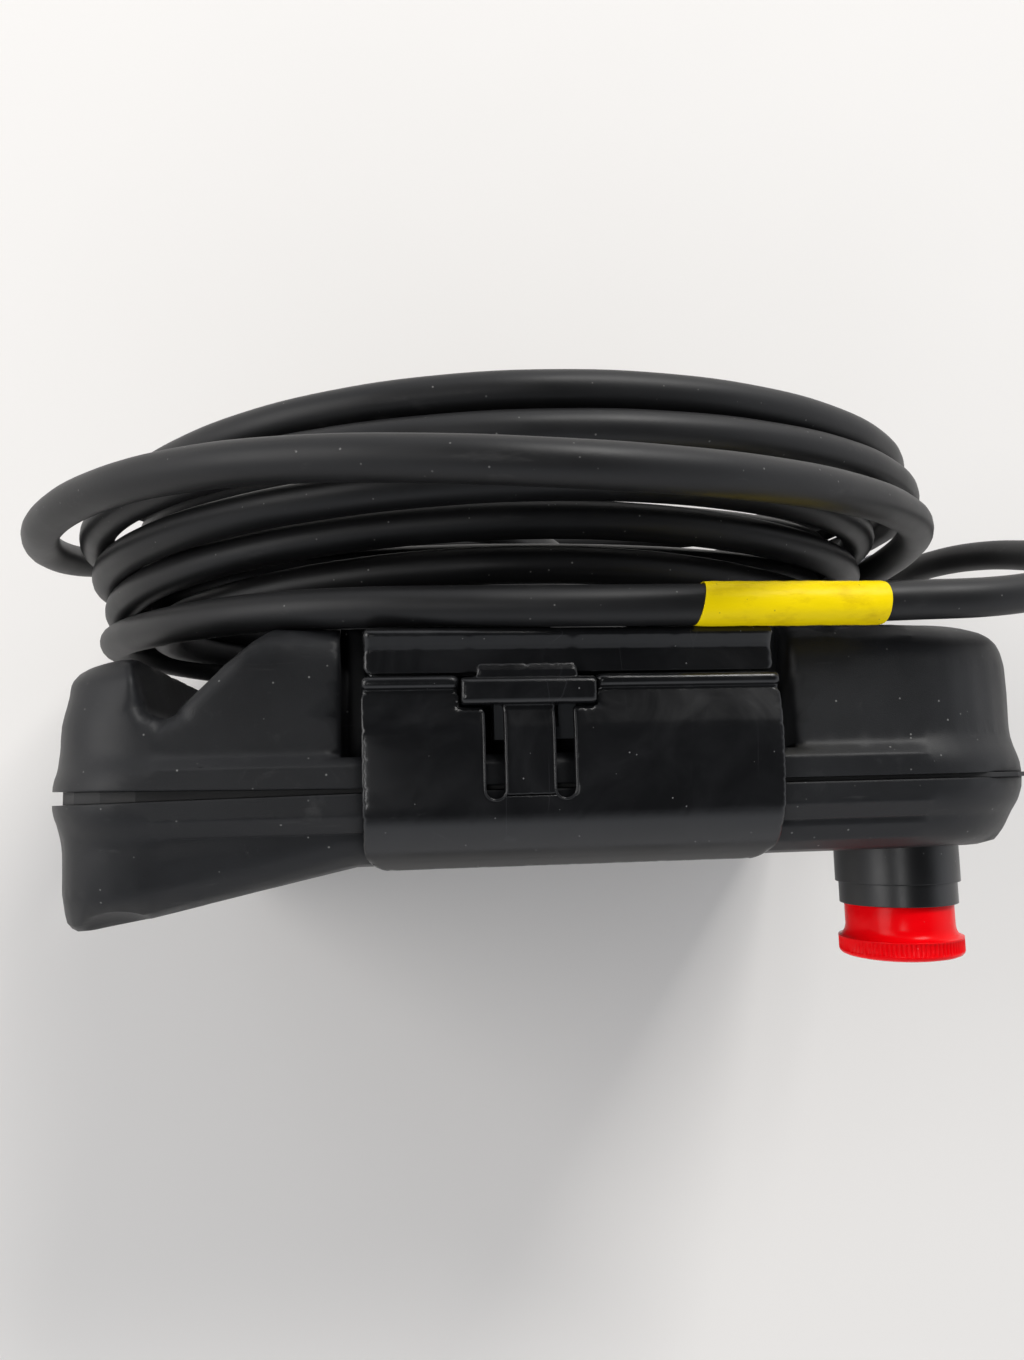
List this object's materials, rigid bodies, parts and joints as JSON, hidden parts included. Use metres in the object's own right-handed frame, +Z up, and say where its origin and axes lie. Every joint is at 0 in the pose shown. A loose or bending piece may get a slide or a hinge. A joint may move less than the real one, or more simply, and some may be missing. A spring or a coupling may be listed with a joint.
{
  "type": "teach pendant",
  "caption": "Hand-held teach pendant standing on its edge, with a left grip and finger channel, enabling paddle, emergency stop, latched top cover and coiled cable with a round plug.",
  "frame": {"origin": "middle of the housing's footprint, on the floor: half-way between its left and right sides and between the emergency stop's face and the cable boss", "axes": "+X to the user's right, +Y from the front with the display to the rear with the cable, +Z up towards the edge with the top cover"},
  "size_m": [0.3784, 0.1863, 0.292],
  "materials": {
    "housing": "fine-textured matt, dark charcoal",
    "gloss": "glossy black",
    "rubber": "satin-matt black",
    "stop_red": "glossy red",
    "steel": "zinc-plated, satin",
    "glass": "dark clear window, gloss",
    "module": "matt dark grey",
    "board": "green laminate",
    "key_grey": "matt grey",
    "switch_cream": "matt off-white",
    "label_yellow": "semi-gloss yellow film",
    "plug_metal": "satin nickel",
    "cable_black": "satin-matt black jacket"
  },
  "bodies": {
    "housing": {"rear_shell": "housing", "front_shell": "housing", "shell_gasket": "rubber", "case_screws": "steel", "display_window": "glass", "display_module": "module", "display_screws": "steel", "keypad_mat": "rubber", "keypad_board": "board", "keypad_screws": "steel", "main_board": "board", "board_screws": "steel", "estop_collar": "gloss", "estop_bezel": "gloss", "estop_spring": "steel", "estop_nut": "steel", "estop_contact_block": "module", "enable_pin": "steel", "enable_switch": "module", "switch_bracket": "steel", "catch_rail": "gloss", "rail_screws": "steel", "service_port": "module", "gland_body": "gloss", "gland_nut": "gloss", "strain_relief": "rubber", "cord_lead": "cable_black", "cord_coil": "cable_black", "cord_tail": "cable_black", "cord_label": "label_yellow", "plug_shell": "plug_metal", "plug_insert": "module", "plug_clamp": "rubber"},
    "soft_key_1": {"soft_key_1": "key_grey"},
    "soft_key_2": {"soft_key_2": "key_grey"},
    "soft_key_3": {"soft_key_3": "key_grey"},
    "soft_key_4": {"soft_key_4": "key_grey"},
    "soft_key_5": {"soft_key_5": "key_grey"},
    "jog_key_1": {"jog_key_1": "key_grey"},
    "jog_key_2": {"jog_key_2": "key_grey"},
    "jog_key_3": {"jog_key_3": "key_grey"},
    "jog_key_4": {"jog_key_4": "key_grey"},
    "jog_key_5": {"jog_key_5": "key_grey"},
    "jog_key_6": {"jog_key_6": "key_grey"},
    "jog_key_7": {"jog_key_7": "key_grey"},
    "jog_key_8": {"jog_key_8": "key_grey"},
    "jog_key_9": {"jog_key_9": "key_grey"},
    "jog_key_10": {"jog_key_10": "key_grey"},
    "jog_key_11": {"jog_key_11": "key_grey"},
    "jog_key_12": {"jog_key_12": "key_grey"},
    "stop_plunger": {"estop_plunger": "steel"},
    "stop_knob": {"estop_knob": "stop_red"},
    "enabling_paddle": {"enable_paddle": "gloss"},
    "enabling_plunger": {"enable_plunger": "switch_cream"},
    "cover": {"top_cover": "gloss"},
    "latch": {"cover_latch": "gloss"},
    "coupling_ring": {"plug_ring": "gloss"}
  },
  "joints": [
    {"name": "soft_key_1_press", "type": "slide", "parent": "housing", "child": "soft_key_1", "axis": [0, 1, 0], "range_m": [0, 0.001], "stiffness_N_per_m": 600},
    {"name": "soft_key_2_press", "type": "slide", "parent": "housing", "child": "soft_key_2", "axis": [0, 1, 0], "range_m": [0, 0.001], "stiffness_N_per_m": 600},
    {"name": "soft_key_3_press", "type": "slide", "parent": "housing", "child": "soft_key_3", "axis": [0, 1, 0], "range_m": [0, 0.001], "stiffness_N_per_m": 600},
    {"name": "soft_key_4_press", "type": "slide", "parent": "housing", "child": "soft_key_4", "axis": [0, 1, 0], "range_m": [0, 0.001], "stiffness_N_per_m": 600},
    {"name": "soft_key_5_press", "type": "slide", "parent": "housing", "child": "soft_key_5", "axis": [0, 1, 0], "range_m": [0, 0.001], "stiffness_N_per_m": 600},
    {"name": "jog_key_1_press", "type": "slide", "parent": "housing", "child": "jog_key_1", "axis": [0, 1, 0], "range_m": [0, 0.001], "stiffness_N_per_m": 600},
    {"name": "jog_key_2_press", "type": "slide", "parent": "housing", "child": "jog_key_2", "axis": [0, 1, 0], "range_m": [0, 0.001], "stiffness_N_per_m": 600},
    {"name": "jog_key_3_press", "type": "slide", "parent": "housing", "child": "jog_key_3", "axis": [0, 1, 0], "range_m": [0, 0.001], "stiffness_N_per_m": 600},
    {"name": "jog_key_4_press", "type": "slide", "parent": "housing", "child": "jog_key_4", "axis": [0, 1, 0], "range_m": [0, 0.001], "stiffness_N_per_m": 600},
    {"name": "jog_key_5_press", "type": "slide", "parent": "housing", "child": "jog_key_5", "axis": [0, 1, 0], "range_m": [0, 0.001], "stiffness_N_per_m": 600},
    {"name": "jog_key_6_press", "type": "slide", "parent": "housing", "child": "jog_key_6", "axis": [0, 1, 0], "range_m": [0, 0.001], "stiffness_N_per_m": 600},
    {"name": "jog_key_7_press", "type": "slide", "parent": "housing", "child": "jog_key_7", "axis": [0, 1, 0], "range_m": [0, 0.001], "stiffness_N_per_m": 600},
    {"name": "jog_key_8_press", "type": "slide", "parent": "housing", "child": "jog_key_8", "axis": [0, 1, 0], "range_m": [0, 0.001], "stiffness_N_per_m": 600},
    {"name": "jog_key_9_press", "type": "slide", "parent": "housing", "child": "jog_key_9", "axis": [0, 1, 0], "range_m": [0, 0.001], "stiffness_N_per_m": 600},
    {"name": "jog_key_10_press", "type": "slide", "parent": "housing", "child": "jog_key_10", "axis": [0, 1, 0], "range_m": [0, 0.001], "stiffness_N_per_m": 600},
    {"name": "jog_key_11_press", "type": "slide", "parent": "housing", "child": "jog_key_11", "axis": [0, 1, 0], "range_m": [0, 0.001], "stiffness_N_per_m": 600},
    {"name": "jog_key_12_press", "type": "slide", "parent": "housing", "child": "jog_key_12", "axis": [0, 1, 0], "range_m": [0, 0.001], "stiffness_N_per_m": 600},
    {"name": "stop_press", "type": "slide", "parent": "housing", "child": "stop_plunger", "axis": [0, 1, 0], "range_m": [0, 0.004], "stiffness_N_per_m": 4000, "deforming": ["estop_spring"]},
    {"name": "stop_twist", "type": "hinge", "parent": "stop_plunger", "child": "stop_knob", "pos_m": [0.1088, -0.04934, 0.191], "axis": [0, 1, 0], "range_deg": [0, 45], "stiffness_Nm_per_rad": 0.2},
    {"name": "paddle_press", "type": "hinge", "parent": "housing", "child": "enabling_paddle", "pos_m": [-0.10509, 0.02215, 0.118], "axis": [0, 0, -1], "range_deg": [0, 10], "stiffness_Nm_per_rad": 0.32},
    {"name": "enabling_plunger_press", "type": "slide", "parent": "housing", "child": "enabling_plunger", "axis": [0.7071, -0.7071, 0], "range_m": [0, 0.0016]},
    {"name": "cover_lift", "type": "slide", "parent": "housing", "child": "cover", "axis": [0, 0, 1], "range_m": [0, 0.025]},
    {"name": "latch_release", "type": "hinge", "parent": "cover", "child": "latch", "pos_m": [-0.0153, -0.00645, 0.237], "axis": [1, 0, 0], "range_deg": [0, 6], "stiffness_Nm_per_rad": 0.4},
    {"name": "ring_turn", "type": "hinge", "parent": "housing", "child": "coupling_ring", "pos_m": [0.178, 0.08665, 0.0205], "axis": [0, 0, 1], "range_deg": [0, 90]}
  ],
  "couplings": [
    {"joint": "enabling_plunger_press", "follows": "paddle_press", "m_per_rad": 0.0084}
  ]
}
